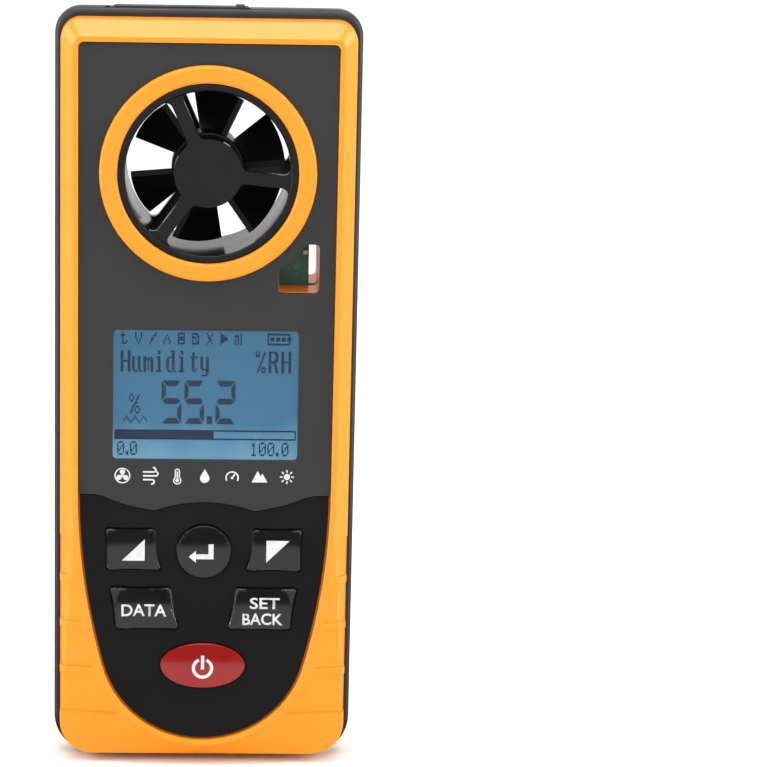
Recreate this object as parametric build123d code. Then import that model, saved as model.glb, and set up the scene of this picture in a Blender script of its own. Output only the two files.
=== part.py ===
from build123d import *
import os
from math import atan2, copysign, degrees, sqrt

# Handheld weather meter, standing upright.  Millimetres.
# +Z is up the long axis, the face with the screen and keys looks along -Y,
# and the origin is on the bottom, in the middle of the width and the thickness.

# ---------------------------------------------------------------- driving dimensions

HEIGHT = 145.0              # over the black middle band
WIDTH_TOP = 58.0            # over the band, near the top
WIDTH_BOTTOM = 57.0         # the case tapers a little towards the hand
THICKNESS = 23.0            # from the crown of the fan ring to the rear face

BAND_PROUD = 1.25           # how far the band stands out from the shells
BAND_HALF = 2.3             # half of the band's depth
TOP_CORNER = 3.7            # corner radii of the shells
BOTTOM_CORNER = 6.3
BAND_TOP_EXTRA = 0.5        # the band stands out further along the top
BAND_ROUND = 1.2            # rounding of its two long edges
WALL = 1.8

FACE = -THICKNESS / 2       # front-most plane, the crown of the fan ring
REAR = THICKNESS / 2        # flat rear face
LIP_FACE = FACE + 0.6       # rim around the front panel
BEVEL_FOOT = FACE + 3.4     # where the front bevel meets the side
FOOT_LIFT = 0.4             # the bottom wall rises by this towards the front
PANEL_FACE = FACE + 1.05
PANEL_BACK = PANEL_FACE + 1.2
DECK_BACK = PANEL_BACK + 1.5
DEEP_CAVITY = DECK_BACK + 1.35
BOARD_FRONT = FACE + 5.9
BOARD_BACK = BOARD_FRONT + 1.2
REAR_WALL = REAR - WALL

# front panel: straight sides above, a U below
PANEL_TOP = 139.3
PANEL_HALF_TOP = 24.3
PANEL_HALF_LOW = 23.9
PANEL_CORNER = 1.0
PANEL_U_START = 54.0
PANEL_U_BOTTOM = 5.2
PANEL_U_SIDE_RADIUS = 125.0
LIP_WIDTH = 1.1
PANEL_GAP = 0.12
FASCIA_GAP = 0.25           # wider gap round the keypad
FASCIA_FACE = PANEL_FACE + 0.3

# grip hollows beside the keypad
GRIP_COUNT = 4
GRIP_PITCH = 9.03
GRIP_LOW = 9.5
GRIP_RIDGE = 1.3
GRIP_DEPTH = 0.28
GRIP_BEAD = 2.1
GRIP_ROUND = 3.4

# fan
FAN_Z = 114.9
RING_OUTER = 20.4
RING_INNER = 17.0
DUCT_OUTER = 16.95
DUCT_INNER = 15.55
REAR_RING = 18.2
REAR_DISH = 20.8
REAR_DISH_DEPTH = 0.35
HUB_RADIUS = 6.45
SPOKE_WIDTH = 2.4
SPOKE_ANGLES = (114.0, -6.0, -126.0)
DUCT_SEAM = -1.6
ROTOR_HUB = 6.9
ROTOR_TIP = 14.6
ROTOR_HALF = 3.6
ROTOR_BOSS = 6.9
BLADE_COUNT = 6
BLADE_FIRST = 22.0
BLADE_SWEEP = 37.0
BLADE_THICK = 0.8
SHAFT_RADIUS = 0.6
SHAFT_HALF = 9.1
RUNNING_GAP = 0.05

# sensor window
WINDOW_LEFT = 13.5
WINDOW_RIGHT = 21.1
WINDOW_LOW = 92.3
WINDOW_HIGH = 101.6
WINDOW_ARC = 22.7
WINDOW_SLANT = 4.1
WINDOW_CORNER = 0.8
COLLAR_WALL = 0.9
COLLAR_END = 1.1
SENSOR_BOARD_HALF = 0.5
BEAD_PLACE = (18.7, 98.7)

# screen
SCREEN_WIDTH = 35.0
SCREEN_HEIGHT = 25.0
SCREEN_Z = 72.5
GLASS_WIDTH = 38.2
GLASS_HEIGHT = 28.2
FRAME_WALL = 1.0

# keys: corner points (X, Z), or centre and half axes
KEY_FACE = FACE + 0.65      # lower than the rim, so that the meter can lie on its face
KEY_TRAVEL = 0.5
KEY_GAP = 0.22
KEY_FLANGE = 0.8
KEY_FLANGE_THICK = 0.5
KEY_DISH_DEPTH = 0.62
KEY_DISH_RADIUS = 26.0
POWER_DISH_DEPTH = 0.4
POWER_DISH_RADIUS = 24.0
ARROW_KEY = ((-18.75, 46.6), (-9.4, 46.6), (-8.0, 38.4), (-18.45, 38.4))
FUNC_KEY = ((-17.9, 35.1), (-6.2, 35.1), (-4.6, 26.9), (-16.65, 26.9))
ENTER_Z = 42.2
ENTER_RADIUS = 5.1
POWER_Z = 19.8
POWER_HALF_X = 8.05
POWER_HALF_Z = 4.38
KEY_CENTRES = {
    "up": (-13.6, 42.4), "enter": (0.0, ENTER_Z), "down": (13.6, 42.4),
    "func": (-11.4, 31.0), "unit": (11.4, 31.0), "power": (0.0, POWER_Z),
}
PLUNGER_RADIUS = 1.8
DOME_RADIUS = 2.5
DOME_HEIGHT = 0.3

# rear door and cells
DOOR_HALF = 19.0
DOOR_LOW = 8.75
DOOR_HIGH = 82.7
DOOR_THICK = 1.45
DOOR_CORNER = 1.8
DOOR_GAP = 0.18
DOOR_FACE = REAR - 0.05
LABEL_HALF = 14.85
LABEL_LOW = 21.9
LABEL_HIGH = 75.5
LABEL_DEPTH = 0.25
DOOR_SCREW_Z = 14.6
SCREW_HEAD = 3.1
CELL_RADIUS = 10.0
CELL_THICK = 3.2
CELL_CENTRES = (34.3, 55.7)
BAY_HALF = 12.0
BAY_LOW = 22.8
BAY_HIGH = 67.2

# fasteners
WELL_X = 19.2
WELL_Z = 133.3
WELL_RADIUS = 2.9
LOW_SCREW_X = 16.2
LOW_SCREW_Z = 13.0

# top flap
FLAP_LEFT = -17.9
FLAP_RIGHT = 7.3
FLAP_HALF = 1.48
FLAP_PROUD = 0.22
POCKET_HALF = 1.6
POCKET_FLOOR = HEIGHT - 1.8
FLAP_PIN_Z = HEIGHT - 1.3
FLAP_PIN_RADIUS = 0.35
KNUCKLE_RADIUS = HEIGHT - FLAP_PIN_Z
SOCKET_X = -5.0
SOCKET_TOP = POCKET_FLOOR - 0.65


# ---------------------------------------------------------------- helpers

def slab(face, y_front, y_back):
    """Extrude an (X, Z) face between two depths."""
    plane = Plane(origin=(0, y_back, 0), x_dir=(1, 0, 0), z_dir=(0, -1, 0))
    return extrude(plane * face, amount=y_back - y_front)


def disc(radius, x, z, y_front, y_back):
    return slab(Pos(x, z) * Circle(radius), y_front, y_back)


def tube(outer, inner, x, z, y_front, y_back):
    return slab(Pos(x, z) * (Circle(outer) - Circle(inner)), y_front, y_back)


def block(x_low, x_high, y_low, y_high, z_low, z_high):
    size = Box(x_high - x_low, y_high - y_low, z_high - z_low)
    return Pos((x_low + x_high) / 2, (y_low + y_high) / 2, (z_low + z_high) / 2) * size


def rounded(x_low, x_high, z_low, z_high, radius):
    """Rounded rectangle in (X, Z)."""
    face = RectangleRounded(x_high - x_low, z_high - z_low, radius)
    return Pos((x_low + x_high) / 2, (z_low + z_high) / 2) * face


def door_outline(grow=0.0):
    return rounded(-DOOR_HALF - grow, DOOR_HALF + grow, DOOR_LOW - grow, DOOR_HIGH + grow, DOOR_CORNER + grow)


def case_outline(grow=0.0, lift=0.0, rise=0.0):
    """Outline of the shells: a tapered rectangle with round corners; its two ends can be raised."""
    half_top = WIDTH_TOP / 2 - BAND_PROUD + grow
    half_low = WIDTH_BOTTOM / 2 - BAND_PROUD + grow
    low = BAND_PROUD - grow + lift
    high = HEIGHT - BAND_PROUD - BAND_TOP_EXTRA + grow + rise
    corners = [(-half_low, low), (half_low, low), (half_top, high), (-half_top, high)]
    face = make_face(Polyline(*corners, close=True))
    face = fillet(face.vertices().group_by(Axis.Y)[-1], TOP_CORNER + grow)
    return fillet(face.vertices().group_by(Axis.Y)[0], BOTTOM_CORNER + grow)


def panel_outline(grow=0.0):
    """Outline of the front panel: square-shouldered above, a three-arc U below."""
    side_x = PANEL_U_SIDE_RADIUS - PANEL_HALF_LOW
    drop = PANEL_U_START - PANEL_U_BOTTOM
    bottom_radius = (PANEL_U_SIDE_RADIUS**2 - side_x**2 - drop**2) / (2 * (PANEL_U_SIDE_RADIUS - drop))
    centre_z = PANEL_U_BOTTOM + bottom_radius
    turn = degrees(atan2(PANEL_U_START - centre_z, side_x))
    side = PANEL_U_SIDE_RADIUS + grow
    right = CenterArc((-side_x, PANEL_U_START), side, 0, -turn)
    bottom = CenterArc((0, centre_z), bottom_radius + grow, -turn, -(180 - 2 * turn))
    left = CenterArc((side_x, PANEL_U_START), side, 180 + turn, -turn)
    top = Polyline(
        left @ 1,
        (-PANEL_HALF_TOP - grow, PANEL_TOP + grow),
        (PANEL_HALF_TOP + grow, PANEL_TOP + grow),
        right @ 0,
    )
    face = make_face([right, bottom, left, *top.edges()])
    return fillet(face.vertices().group_by(Axis.Y)[-1], PANEL_CORNER + grow)


def keypad_side(shift=0.0):
    """Everything below the wavy line between the panel and the keypad."""
    shoulder = 53.2 + shift
    cusp = 50.1 + shift
    right = Spline((9.5, cusp), (17.6, 52.15 + shift), (21.6, shoulder), tangents=[(1, 0.16), (1, 0)])
    left = Spline((-21.6, shoulder), (-17.6, 52.15 + shift), (-9.5, cusp), tangents=[(1, 0), (1, -0.16)])
    arch = ThreePointArc((-9.5, cusp), (0, 51.8 + shift), (9.5, cusp))
    rest = Polyline((21.6, shoulder), (30, shoulder), (30, 0), (-30, 0), (-30, shoulder), (-21.6, shoulder))
    return make_face([left, arch, right, *rest.edges()])


def window_face(grow=0.0, arched=True):
    """Sensor window, its upper inner corner cut away beside the fan."""
    face = Pos((WINDOW_LEFT + WINDOW_RIGHT) / 2, (WINDOW_LOW + WINDOW_HIGH) / 2) * Rectangle(
        WINDOW_RIGHT - WINDOW_LEFT + 2 * grow, WINDOW_HIGH - WINDOW_LOW + 2 * grow)
    if arched:
        face = face - Pos(0, FAN_Z) * Circle(WINDOW_ARC - grow)
    else:
        left = WINDOW_LEFT - 0.7 * grow
        high = WINDOW_HIGH + 0.7 * grow
        cut = WINDOW_SLANT
        face = face - make_face(Polyline(
            (left - 5, high - cut - 5), (left + cut + 5, high + 5), (left - 5, high + 5), close=True))
    return fillet(face.vertices(), WINDOW_CORNER + grow * 0.5)


def bowed(corners, sags, grow=0.0):
    """Four-cornered face with bowed sides; a positive sag pulls a side inwards."""
    middle_x = sum(p[0] for p in corners) / 4
    middle_z = sum(p[1] for p in corners) / 4
    corners = [(x + copysign(grow, x - middle_x), z + copysign(grow, z - middle_z)) for x, z in corners]
    edges = []
    for index, sag in enumerate(sags):
        start = corners[index]
        end = corners[(index + 1) % 4]
        half = ((start[0] + end[0]) / 2, (start[1] + end[1]) / 2)
        normal = (end[1] - start[1], start[0] - end[0])
        length = sqrt(normal[0]**2 + normal[1]**2)
        inward = 1 if normal[0] * (middle_x - half[0]) + normal[1] * (middle_z - half[1]) > 0 else -1
        point = (half[0] + inward * sag * normal[0] / length, half[1] + inward * sag * normal[1] / length)
        edges.append(ThreePointArc(start, point, end))
    face = make_face(edges)
    return fillet(face.vertices(), 0.55 + 0.6 * grow)


def key_face(name, grow=0.0):
    if name == "enter":
        return Pos(0, ENTER_Z) * Circle(ENTER_RADIUS + grow)
    if name == "power":
        return Pos(0, POWER_Z) * Ellipse(POWER_HALF_X + grow, POWER_HALF_Z + grow)
    if name in ("up", "down"):
        face = bowed(ARROW_KEY, (0.2, 0.45, 0.35, 0.3), grow)
    else:
        face = bowed(FUNC_KEY, (0.2, 0.3, 0.25, 0.25), grow)
    return mirror(face, about=Plane.YZ) if name in ("down", "unit") else face


def phillips(x, z, y_face, depth, span, width):
    """Cross recess cut into a screw head that looks along +Y."""
    bar_a = block(x - span, x + span, y_face - depth, y_face + 1, z - width / 2, z + width / 2)
    bar_b = block(x - width / 2, x + width / 2, y_face - depth, y_face + 1, z - span, z + span)
    return bar_a + bar_b


# ---------------------------------------------------------------- case

def make_front_shell():
    joint = Plane(origin=(0, -BAND_HALF, 0), x_dir=(1, 0, 0), z_dir=(0, -1, 0)) * case_outline()
    foot = Plane(origin=(0, BEVEL_FOOT, 0), x_dir=(1, 0, 0), z_dir=(0, -1, 0)) * case_outline(0, FOOT_LIFT)
    side = loft([joint, foot], ruled=True)
    rim = Plane(origin=(0, LIP_FACE, 0), x_dir=(1, 0, 0), z_dir=(0, -1, 0)) * panel_outline(LIP_WIDTH)
    bevel = loft([foot, rim], ruled=True)
    body = side + bevel

    # grip hollows: the same front, sunk a little, seen through rounded windows
    deep_foot = Plane(origin=(0, BEVEL_FOOT + GRIP_DEPTH, 0), x_dir=(1, 0, 0), z_dir=(0, -1, 0))
    deep_rim = Plane(origin=(0, LIP_FACE + GRIP_DEPTH, 0), x_dir=(1, 0, 0), z_dir=(0, -1, 0))
    sunk = loft([deep_foot * case_outline(-GRIP_DEPTH), deep_rim * panel_outline(LIP_WIDTH)], ruled=True)
    sunk = sunk + slab(case_outline(-GRIP_DEPTH), BEVEL_FOOT + GRIP_DEPTH, -BAND_HALF)
    bead = panel_outline(GRIP_BEAD)
    windows = []
    for index in range(GRIP_COUNT):
        low = GRIP_LOW + index * GRIP_PITCH + GRIP_RIDGE / 2
        high = low + GRIP_PITCH - GRIP_RIDGE
        for hand in (-1, 1):
            span = sorted((hand * 13.0, hand * 31.0))
            windows.append(slab(rounded(*span, low, high, GRIP_ROUND) - bead, FACE - 1, BEVEL_FOOT + 2.2))
    for window in windows:
        body = body - (window - sunk)

    cavity = slab(case_outline(-WALL), DEEP_CAVITY, 0)
    cavity = cavity + slab(panel_outline(-0.9), DECK_BACK, DEEP_CAVITY + 0.1)
    body = body - cavity
    body = body - slab(panel_outline(PANEL_GAP), FACE - 1, PANEL_BACK)

    # raised ring and the short collar that guides the duct
    ring = tube(RING_OUTER, RING_INNER, 0, FAN_Z, FACE, DECK_BACK)
    ring = fillet(ring.edges().group_by(Axis.Y)[0], 0.7)
    body = body + ring + tube(RING_INNER + 1.3, RING_INNER, 0, FAN_Z, DECK_BACK - 0.1, BOARD_FRONT + 0.6)
    body = body - disc(RING_INNER, 0, FAN_Z, FACE - 1, 0)

    # screen opening, key holes, sensor window with its collar
    half_w = GLASS_WIDTH / 2 + FRAME_WALL + 0.2
    half_h = GLASS_HEIGHT / 2 + FRAME_WALL + 0.2
    body = body - block(-half_w, half_w, PANEL_BACK - 1, DECK_BACK + 1, SCREEN_Z - half_h, SCREEN_Z + half_h)
    for name in KEY_CENTRES:
        body = body - slab(key_face(name, KEY_GAP), PANEL_BACK - 1, DECK_BACK + 1)
    body = body + slab(window_face(COLLAR_WALL), PANEL_BACK, -COLLAR_END)
    body = body - slab(window_face(), FACE - 1, 0)

    # room for the data socket in the top wall
    body = body - block(SOCKET_X - 4.1, SOCKET_X + 4.1, BOARD_FRONT, 0, HEIGHT - 6, SOCKET_TOP + 0.15)

    # bosses for the case screws and the board screws
    for x, z in case_screw_places():
        body = body + disc(3.0, x, z, DECK_BACK - 0.1, BOARD_BACK + 0.8)
        body = body - disc(1.05, x, z, DECK_BACK + 0.3, 0)
    for x, z in board_screw_places():
        body = body + disc(1.9, x, z, DECK_BACK - 0.1, BOARD_FRONT)
        body = body - disc(0.8, x, z, DECK_BACK + 0.2, 0)
    return body


def case_screw_places():
    return [(-WELL_X, WELL_Z), (WELL_X, WELL_Z), (-LOW_SCREW_X, LOW_SCREW_Z), (LOW_SCREW_X, LOW_SCREW_Z)]


def board_screw_places():
    return [(-22.2, 90.0), (22.2, 88.9), (-22.2, 55.2), (22.2, 55.2)]


def make_rear_shell():
    body = slab(case_outline(), BAND_HALF, REAR)
    body = fillet(body.edges().group_by(Axis.Y)[-1], 2.6)
    body = body - slab(case_outline(-WALL), 0, REAR_WALL)

    # fan opening with a shallow dish, and a guide collar for the duct
    body = body + tube(REAR_RING + 1.2, RING_INNER + 0.05, 0, FAN_Z, REAR_WALL - 4.0, REAR_WALL + 0.1)
    body = body - disc(RING_INNER + 0.05, 0, FAN_Z, 0, REAR + 1)
    body = body - disc(REAR_RING + 0.12, 0, FAN_Z, REAR - REAR_DISH_DEPTH - 1.0, REAR + 1)
    cone = Pos(0, REAR - REAR_DISH_DEPTH, FAN_Z) * Rot(-90, 0, 0) * Cone(
        REAR_RING + 0.1, REAR_DISH, REAR_DISH_DEPTH, align=(Align.CENTER, Align.CENTER, Align.MIN))
    body = body - cone

    # sensor window
    body = body + slab(window_face(COLLAR_WALL, False), COLLAR_END, REAR_WALL + 0.1)
    body = body - slab(window_face(0, False), 0, REAR + 1)

    # upper screw wells and lower screw pillars
    for x, z in case_screw_places():
        top = REAR_WALL + 0.1 if z > 100 else REAR_WALL - 1.4
        body = body + disc(WELL_RADIUS + 1.1, x, z, BOARD_BACK + 0.9, top)
        body = body - disc(1.35, x, z, BOARD_BACK, REAR + 1)
        body = body - disc(WELL_RADIUS, x, z, 4.2, REAR + 1)

    # door pocket, bay for the cells, slots for the door's hooks
    body = body + slab(door_outline(DOOR_GAP + 1.3), REAR_WALL - 1.5, REAR_WALL + 0.1)
    body = body - slab(door_outline(DOOR_GAP), REAR_WALL + 0.1, REAR + 1)
    body = body - slab(rounded(-BAY_HALF, BAY_HALF, BAY_LOW, BAY_HIGH, 2.0), REAR_WALL - 3, REAR_WALL + 1)
    for x, z in case_screw_places()[2:]:
        body = body - disc(WELL_RADIUS, x, z, 4.2, REAR)
    for hand in (-1, 1):
        span = sorted((hand * 7.5, hand * 13.5))
        body = body - block(*span, REAR_WALL - 2.2, REAR_WALL + 0.1, 79.4, 84.75)

    # post with the nut for the door screw, half-moon finger notch, lanyard hole
    body = body + disc(5.6, 0, DOOR_SCREW_Z, 4.0, REAR_WALL - 1.4)
    body = body - disc(4.5, 0, DOOR_SCREW_Z, REAR_WALL - 1.5, REAR)
    body = body - disc(2.1, 0, DOOR_SCREW_Z, 4.2, REAR)
    scoop = Pos(0, REAR + 6.2, DOOR_LOW + 2.0) * Sphere(10.6)
    body = body - (scoop & block(-12, 12, REAR - 1.3, REAR + 1, 2, DOOR_LOW + 0.5))
    lanyard = Pos(20.7, 6.5) * Rot(0, 0, 45) * Rectangle(3.2, 3.2)
    eyelet = disc(3.4, 20.7, 6.5, REAR_WALL - 3.0, REAR_WALL + 0.1)
    body = body + (eyelet & slab(case_outline(), BAND_HALF, REAR))
    body = body - slab(lanyard, REAR_WALL - 2.0, REAR + 1)
    return body


def band_solid(grow=0.0):
    face = case_outline(BAND_PROUD + grow, 0, BAND_TOP_EXTRA)
    body = slab(face, -BAND_HALF - grow, BAND_HALF + grow)
    edges = body.edges().group_by(Axis.Y)
    return fillet(edges[0] + edges[-1], BAND_ROUND + grow)


def make_middle_frame():
    body = band_solid() - slab(case_outline(-WALL - 1.0), -BAND_HALF - 1, BAND_HALF + 1)
    lip = slab(case_outline(-WALL - 0.1) - case_outline(-WALL - 1.0), -4.0, 4.0)
    body = body + lip
    # pocket for the flap, way through to the socket
    body = body - block(FLAP_LEFT, FLAP_RIGHT + 0.3, -POCKET_HALF, POCKET_HALF, POCKET_FLOOR, HEIGHT + 2)
    low = FLAP_PIN_Z - KNUCKLE_RADIUS - 0.12
    body = body - block(FLAP_LEFT - 1.7, FLAP_LEFT + 1.5, -POCKET_HALF, POCKET_HALF, low, HEIGHT + 2)
    body = body - block(SOCKET_X - 4.1, SOCKET_X + 4.1, BOARD_FRONT, 2.1, HEIGHT - 8, SOCKET_TOP + 0.15)
    body = body - block(
        SOCKET_X - 3.8, SOCKET_X + 3.8, -POCKET_HALF, POCKET_HALF, HEIGHT - 8, POCKET_FLOOR + 0.1)
    pin = Pos(FLAP_LEFT, 0, FLAP_PIN_Z) * Rot(90, 0, 0) * Cylinder(FLAP_PIN_RADIUS, 3.9)
    return body - pin


# ---------------------------------------------------------------- front face

def make_display_panel():
    body = slab(panel_outline(-PANEL_GAP / 2) - keypad_side(0.05), PANEL_FACE, PANEL_BACK)
    body = body - disc(RING_OUTER + 0.1, 0, FAN_Z, FACE, 0)
    body = body - slab(rounded(-SCREEN_WIDTH / 2, SCREEN_WIDTH / 2, SCREEN_Z - SCREEN_HEIGHT / 2,
                               SCREEN_Z + SCREEN_HEIGHT / 2, 0.8), FACE, 0)
    return body - slab(window_face(0.05), FACE, 0)


def make_keypad_fascia():
    body = slab(panel_outline(-FASCIA_GAP) & keypad_side(-0.05), FASCIA_FACE, PANEL_BACK)
    for name in KEY_CENTRES:
        body = body - slab(key_face(name, KEY_GAP), FACE, 0)
    return body


def make_screen_window():
    face = rounded(-SCREEN_WIDTH / 2 + 0.05, SCREEN_WIDTH / 2 - 0.05, SCREEN_Z - SCREEN_HEIGHT / 2 + 0.05,
                   SCREEN_Z + SCREEN_HEIGHT / 2 - 0.05, 0.75)
    return slab(face, PANEL_FACE + 0.08, PANEL_BACK)


def screen_slab(width, height, y_front, y_back):
    return block(-width / 2, width / 2, y_front, y_back, SCREEN_Z - height / 2, SCREEN_Z + height / 2)


def make_screen_glass():
    return screen_slab(GLASS_WIDTH, GLASS_HEIGHT, PANEL_BACK + 0.1, PANEL_BACK + 1.9)


def make_screen_backlight():
    return screen_slab(GLASS_WIDTH, GLASS_HEIGHT, PANEL_BACK + 1.9, BOARD_FRONT - 0.05)


def make_screen_frame():
    wide = GLASS_WIDTH + 2 * FRAME_WALL
    high = GLASS_HEIGHT + 2 * FRAME_WALL
    outer = screen_slab(wide, high, PANEL_BACK + 0.05, BOARD_FRONT)
    return outer - screen_slab(GLASS_WIDTH + 0.1, GLASS_HEIGHT + 0.1, PANEL_BACK - 1, BOARD_FRONT + 1)


def make_screen_connector():
    return block(-15, 15, BOARD_FRONT - 1.4, BOARD_FRONT, SCREEN_Z + 15.6, SCREEN_Z + 17.2)


def make_key(name):
    """One key: dished cap, stem through the front, retaining flange and plunger."""
    x, z = KEY_CENTRES[name]
    cap = slab(key_face(name), KEY_FACE, DECK_BACK + 0.05)
    cap = fillet(cap.edges().group_by(Axis.Y)[0], 0.22)
    if name == "power":
        trough = Rot(0, 90, 0) * Cylinder(POWER_DISH_RADIUS, 3 * POWER_HALF_X)
        cap = cap - Pos(x, KEY_FACE + POWER_DISH_DEPTH - POWER_DISH_RADIUS, z) * trough
    else:
        cap = cap - Pos(x, KEY_FACE + KEY_DISH_DEPTH - KEY_DISH_RADIUS, z) * Sphere(KEY_DISH_RADIUS)
    flange = slab(key_face(name, KEY_FLANGE), DECK_BACK + 0.05, DECK_BACK + 0.05 + KEY_FLANGE_THICK)
    plunger_end = BOARD_FRONT - DOME_HEIGHT - KEY_TRAVEL - 0.05
    plunger = disc(PLUNGER_RADIUS, x, z, DECK_BACK, plunger_end)
    return cap + flange + plunger


def make_keypad_mat():
    outer = rounded(-20.5, 20.5, 12.0, 49.0, 6.0)
    body = slab(outer, BOARD_FRONT - 0.5, BOARD_FRONT)
    for x, z in KEY_CENTRES.values():
        body = body - disc(DOME_RADIUS + 0.6, x, z, BOARD_FRONT - 1, BOARD_FRONT)
    for x, z in case_screw_places()[2:]:
        body = body - disc(3.4, x, z, BOARD_FRONT - 1, BOARD_FRONT)
    return body


def make_dome_switches():
    """Six stepped metal snap domes, one under each key."""
    domes = []
    for x, z in KEY_CENTRES.values():
        dome = disc(DOME_RADIUS, x, z, BOARD_FRONT - DOME_HEIGHT / 2, BOARD_FRONT)
        dome = dome + disc(0.6 * DOME_RADIUS, x, z, BOARD_FRONT - DOME_HEIGHT, BOARD_FRONT)
        domes.append(dome)
    return Compound(children=[dome.solid() for dome in domes])


# ---------------------------------------------------------------- electronics

def make_main_board():
    face = rounded(-24.0, 24.0, 5.2, 140.4, 2.5) - Pos(0, FAN_Z) * Circle(RING_INNER + 1.6)
    body = slab(face, BOARD_FRONT, BOARD_BACK)
    body = body - slab(window_face(COLLAR_WALL + 0.3), BOARD_FRONT - 1, BOARD_BACK + 1)
    for x, z in case_screw_places():
        body = body - disc(3.2, x, z, BOARD_FRONT - 1, BOARD_BACK + 1)
    for x, z in board_screw_places():
        body = body - disc(1.1, x, z, BOARD_FRONT - 1, BOARD_BACK + 1)
    return body


def make_board_chips():
    """Processor, display driver, regulator and crystal on the back of the board."""
    places = ((-9, 62, 10, 10, 1.4), (8, 74, 7, 7, 1.2), (12, 45, 5, 4, 1.1), (-3, 47, 3.2, 8, 1.6))
    chips = []
    for x, z, wide, tall, thick in places:
        chip = Pos(x, BOARD_BACK + thick / 2, z) * Box(wide, thick, tall)
        chips.append(chip)
    return Compound(children=[chip.solid() for chip in chips])


def make_pressure_sensor():
    can = block(-19.5, -14.5, BOARD_BACK, BOARD_BACK + 1.8, 86.0, 91.0)
    return can - disc(0.5, -17, 88.5, BOARD_BACK + 1.0, BOARD_BACK + 3)


def make_data_socket():
    body = block(SOCKET_X - 3.9, SOCKET_X + 3.9, BOARD_BACK, 1.9, SOCKET_TOP - 6.8, SOCKET_TOP)
    body = body - block(SOCKET_X - 3.4, SOCKET_X + 3.4, -1.5, 1.5, SOCKET_TOP - 5.5, SOCKET_TOP + 1)
    tongue = block(SOCKET_X - 2.5, SOCKET_X + 2.5, -0.4, 0.4, SOCKET_TOP - 6, SOCKET_TOP - 1.2)
    return body + tongue


def make_sensor_board():
    body = block(WINDOW_LEFT - 1.1, 19.4, -SENSOR_BOARD_HALF, SENSOR_BOARD_HALF, 90.6, 103.0)
    return body - disc(WINDOW_ARC - 1.2, 0, FAN_Z, -1, 1)


def make_humidity_sensor():
    """Humidity sensor on the rear side of the sensor board."""
    body = block(14.4, 17.0, SENSOR_BOARD_HALF, SENSOR_BOARD_HALF + 1.0, 93.8, 96.6)
    return body - disc(0.7, 15.7, 95.2, SENSOR_BOARD_HALF + 0.6, SENSOR_BOARD_HALF + 2)


def make_thermistor():
    """Glass bead on a short lead, standing off the sensor board."""
    x, z = BEAD_PLACE
    bead = Pos(x, -SENSOR_BOARD_HALF - 0.7, z) * Sphere(0.5)
    return bead + disc(0.12, x, z, -SENSOR_BOARD_HALF - 0.7, -SENSOR_BOARD_HALF)


# ---------------------------------------------------------------- fan

def grille_face():
    """Rim, hub and three spokes, with rounded roots."""
    face = Circle(DUCT_OUTER - 0.4) - Circle(DUCT_INNER) + Circle(HUB_RADIUS)
    reach = (HUB_RADIUS + DUCT_INNER) / 2
    length = DUCT_INNER - HUB_RADIUS + 1.4
    for angle in SPOKE_ANGLES:
        bar = Rot(0, 0, angle) * Pos(reach, 0) * Rectangle(length, SPOKE_WIDTH)
        face = face + bar
    near = [v for v in face.vertices() if HUB_RADIUS - 0.5 < v.center().length < DUCT_INNER + 0.3]
    return Pos(0, FAN_Z) * fillet(near, 1.3)


def make_vane_frame_front():
    duct = tube(DUCT_OUTER, DUCT_INNER, 0, FAN_Z, FACE + 0.5, DUCT_SEAM)
    duct = fillet(duct.edges().group_by(Axis.Y)[0], 0.3)
    body = slab(grille_face(), FACE + 1.1, FACE + 3.2) + duct
    body = body + disc(3.2, 0, FAN_Z, FACE + 3.1, FACE + 3.7)
    return body - disc(1.7, 0, FAN_Z, FACE + 2.0, 0)


def make_vane_frame_rear():
    face_back = REAR - REAR_DISH_DEPTH
    flange = tube(REAR_RING, DUCT_INNER, 0, FAN_Z, face_back - 0.95, face_back)
    flange = fillet(flange.edges().group_by(Axis.Y)[-1], 0.3)
    body = slab(grille_face(), REAR - 3.2, REAR - 1.1) + flange
    body = body + tube(DUCT_OUTER, DUCT_INNER, 0, FAN_Z, DUCT_SEAM, face_back - 0.5)
    body = body + disc(3.2, 0, FAN_Z, REAR - 3.7, REAR - 3.1)
    body = body - disc(1.7, 0, FAN_Z, 0, REAR - 2.0)
    return body - block(3.6, 5.4, REAR - 4, REAR - 2.0, FAN_Z - 1.6, FAN_Z + 1.6)


def make_bearing(front):
    """Flanged bush in the hub of a grille."""
    if front:
        return tube(1.7, SHAFT_RADIUS + RUNNING_GAP, 0, FAN_Z, -SHAFT_HALF - 0.4, FACE + 4.0)
    return tube(1.7, SHAFT_RADIUS + RUNNING_GAP, 0, FAN_Z, REAR - 4.0, SHAFT_HALF + 0.4)


def make_rotor():
    """Six twisted vanes on a hub."""
    vanes = []
    steps = 4
    reach = (ROTOR_HUB - 1 + ROTOR_TIP) / 2
    for index in range(BLADE_COUNT):
        sections = []
        for step in range(steps + 1):
            share = step / steps
            depth = -ROTOR_HALF + 0.1 + share * (2 * ROTOR_HALF - 0.2)
            angle = BLADE_FIRST + 60 * index + (share - 0.5) * (BLADE_SWEEP - 3.0)
            plane = Plane(origin=(0, depth, FAN_Z), x_dir=(1, 0, 0), z_dir=(0, -1, 0))
            bar = Rot(0, 0, angle) * Pos(reach, 0) * Rectangle(ROTOR_TIP - ROTOR_HUB + 1, BLADE_THICK * 1.35)
            sections.append(plane * bar)
        vanes.append(loft(sections))
    hub = disc(ROTOR_HUB, 0, FAN_Z, -ROTOR_HALF, ROTOR_HALF)
    hub = fillet(hub.edges(), 0.5)
    body = hub
    for vane in vanes:
        body = body + vane
    body = body + disc(2.0, 0, FAN_Z, -ROTOR_BOSS, ROTOR_BOSS)
    body = body & disc(ROTOR_TIP, 0, FAN_Z, -9, 9)
    return body - disc(SHAFT_RADIUS, 0, FAN_Z, -9, 9)


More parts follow.
